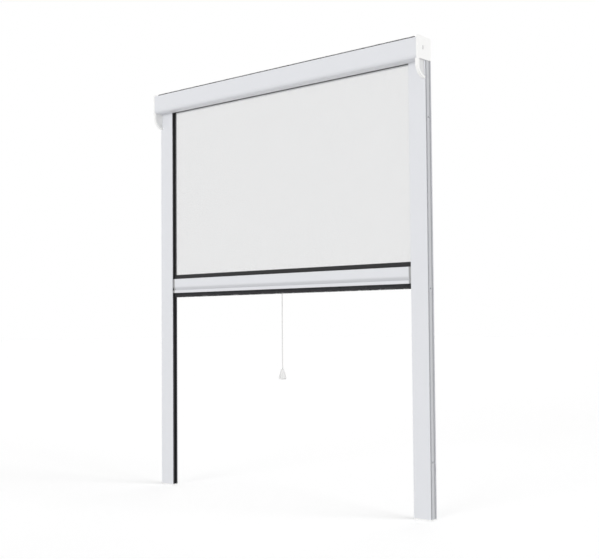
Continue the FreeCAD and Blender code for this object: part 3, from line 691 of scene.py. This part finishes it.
def make_cord():
    """Braided cord: one tube along the route with the strands as relief."""
    line = route_points(CORD_ROUTE)
    step, sides, relief = 0.0005, 40, 0.00022
    bm = bmesh.new()
    rings = []
    for i, point in enumerate(resample(line, step)):
        ring = []
        for k in range(sides):
            turn = 2 * math.pi * k / sides
            radius = CORD_RADIUS - relief * (1 - braid(turn, i * step))
            ring.append(bm.verts.new(point + Vector((math.cos(turn), math.sin(turn), 0)) * radius))
        rings.append(ring)
    for near, far in zip(rings, rings[1:]):
        for k in range(sides):
            bm.faces.new((near[k], far[k], far[(k + 1) % sides], near[(k + 1) % sides]))
    bm.faces.new(rings[0])
    bm.faces.new(rings[-1][::-1])
    bmesh.ops.recalc_face_normals(bm, faces=bm.faces)
    mesh = bpy.data.meshes.new("pull_cord_braid")
    bm.to_mesh(mesh)
    bm.free()
    cord = new_object("pull_cord_braid", mesh, CORD)
    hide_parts("pull_cord")
    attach(cord, "bar")
    return cord, line


def make_knob():
    """Bell-shaped knob, hollow underneath. Its profile gives radius and height over the rim, up
    the outside from the rim and down the inside."""
    low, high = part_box("pull_knob")
    middle = (low + high) / 2
    tall = high.z - low.z
    rim = [(0.0062, 0.0), (0.0074, 0.0002), (0.0083, 0.0008), (0.0088, 0.0018), (0.0089, 0.0028)]
    flank = [(0.0087, 0.0042), (0.0082, 0.0064), (0.0075, 0.0092), (0.0067, 0.0122), (0.0059, 0.0152)]
    neck = [(0.0052, 0.018), (0.0046, 0.0204), (0.0042, 0.0219), (0.0041, 0.0226)]
    crown = [(0.0038, 0.0234), (0.0032, 0.0239), (0.0024, tall), (0.0015, tall)]
    bore = [(0.0015, 0.0212), (0.0032, 0.0205)]
    hollow = [(0.0044, 0.0168), (0.0056, 0.0112), (0.0064, 0.005), (0.0066, 0.0008)]
    profile = rim + flank + neck + crown + bore + hollow
    sides = 56
    bm = bmesh.new()
    rings = []
    for radius, rise in profile:
        ring = []
        for k in range(sides):
            turn = 2 * math.pi * k / sides
            x = middle.x + radius * math.cos(turn)
            y = middle.y + radius * math.sin(turn)
            ring.append(bm.verts.new((x, y, low.z + rise)))
        rings.append(ring)
    for near, far in zip(rings, rings[1:] + rings[:1]):
        for k in range(sides):
            bm.faces.new((near[k], near[(k + 1) % sides], far[(k + 1) % sides], far[k]))
    bmesh.ops.recalc_face_normals(bm, faces=bm.faces)
    mesh = bpy.data.meshes.new("knob_bell")
    bm.to_mesh(mesh)
    bm.free()
    knob = new_object("knob_bell", mesh, KNOB)
    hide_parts("pull_knob")
    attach(knob, "bar")
    return knob


def make_end_knot():
    """The cord's end knot inside the knob: a flattened ball with three strands round it."""
    low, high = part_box("pull_knob")
    middle = (low + high) / 2
    radius, height, flat = 0.0027, 0.0182, 0.85
    strands, twist, relief = 3, 900, 0.1
    bm = bmesh.new()
    bmesh.ops.create_icosphere(bm, subdivisions=3, radius=radius)
    for vertex in bm.verts:
        turn = math.atan2(vertex.co.y, vertex.co.x)
        vertex.co *= 1 + relief * math.sin(strands * turn + twist * vertex.co.z)
        vertex.co.z *= flat
        vertex.co += Vector((middle.x, middle.y, low.z + height))
    mesh = bpy.data.meshes.new("knob_knot")
    bm.to_mesh(mesh)
    bm.free()
    knot = new_object("knob_knot", mesh, CORD)
    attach(knot, "bar")
    return knot


cord, cord_line = make_cord()
knob = make_knob()
end_knot = make_end_knot()


# Floor, background and light

WHITE_LEVEL = 1.0  # strength at which the floor and the background are white
SKY = 0.55  # strength of the sky's light on the frame
# Direction towards each lamp, its strength, and its spread in degrees
SUNS = {
    "key": ((0.15, -1.0, 0.14), 1.28, 30),
    "fill": ((0.9, 0.1, 0.6), 1.1, 40),
    "back": ((-0.4, 1.0, 0.35), 0.6, 50),
}


def unseen_by_light(tree):
    """1 for what the camera, a reflection or a clear pane sees, and 0 for the light on things."""
    rays = tree.nodes.new("ShaderNodeLightPath")
    total = rays.outputs["Is Camera Ray"]
    for name in ("Is Glossy Ray", "Is Transmission Ray"):
        either = tree.nodes.new("ShaderNodeMath")
        either.operation = "MAXIMUM"
        tree.links.new(total, either.inputs[0])
        tree.links.new(rays.outputs[name], either.inputs[1])
        total = either.outputs[0]
    return total


def make_floor():
    """White floor that keeps the frame's soft shadows. What the lamps and the sky leave to white
    is added as a glow that only the camera, reflections and clear panes see."""
    size, shade = 30, 0.85
    corners = [(-size, -size, 0), (size, -size, 0), (size, size, 0), (-size, size, 0)]
    mesh = bpy.data.meshes.new("floor")
    mesh.from_pydata(corners, [], [(0, 1, 2, 3)])
    floor = bpy.data.objects.new("floor", mesh)
    scene.collection.objects.link(floor)
    material = bpy.data.materials.new("floor")
    material.use_nodes = True
    tree = material.node_tree
    tree.nodes.clear()
    out = tree.nodes.new("ShaderNodeOutputMaterial")
    diffuse = tree.nodes.new("ShaderNodeBsdfDiffuse")
    diffuse.inputs["Color"].default_value = (shade, shade, shade, 1)
    lit = SKY
    for direction, strength, _ in SUNS.values():
        lit += strength / math.pi * Vector(direction).normalized().z
    glow = tree.nodes.new("ShaderNodeEmission")
    level = tree.nodes.new("ShaderNodeMath")
    level.operation = "MULTIPLY"
    level.inputs[1].default_value = WHITE_LEVEL - shade * lit
    tree.links.new(unseen_by_light(tree), level.inputs[0])
    tree.links.new(level.outputs[0], glow.inputs["Strength"])
    total = tree.nodes.new("ShaderNodeAddShader")
    tree.links.new(diffuse.outputs[0], total.inputs[0])
    tree.links.new(glow.outputs[0], total.inputs[1])
    tree.links.new(total.outputs[0], out.inputs["Surface"])
    mesh.materials.append(material)


def make_world():
    """A plain sky that lights the frame, seen as the same white as the floor."""
    world = bpy.data.worlds.new("studio")
    scene.world = world
    world.use_nodes = True
    tree = world.node_tree
    background = tree.nodes["Background"]
    background.inputs["Color"].default_value = (1, 1, 1, 1)
    level = tree.nodes.new("ShaderNodeMapRange")
    level.inputs["To Min"].default_value = SKY
    level.inputs["To Max"].default_value = WHITE_LEVEL
    tree.links.new(unseen_by_light(tree), level.inputs["Value"])
    tree.links.new(level.outputs["Result"], background.inputs["Strength"])


def make_suns():
    """Broad lamps, far enough away to light the whole floor evenly."""
    for name, (direction, strength, spread) in SUNS.items():
        data = bpy.data.lights.new(name, "SUN")
        data.energy = strength
        data.angle = math.radians(spread)
        lamp = bpy.data.objects.new(name, data)
        lamp.rotation_euler = Vector(direction).to_track_quat("Z", "Y").to_euler()
        scene.collection.objects.link(lamp)


make_floor()
make_world()
make_suns()
scene.view_settings.view_transform = "Standard"
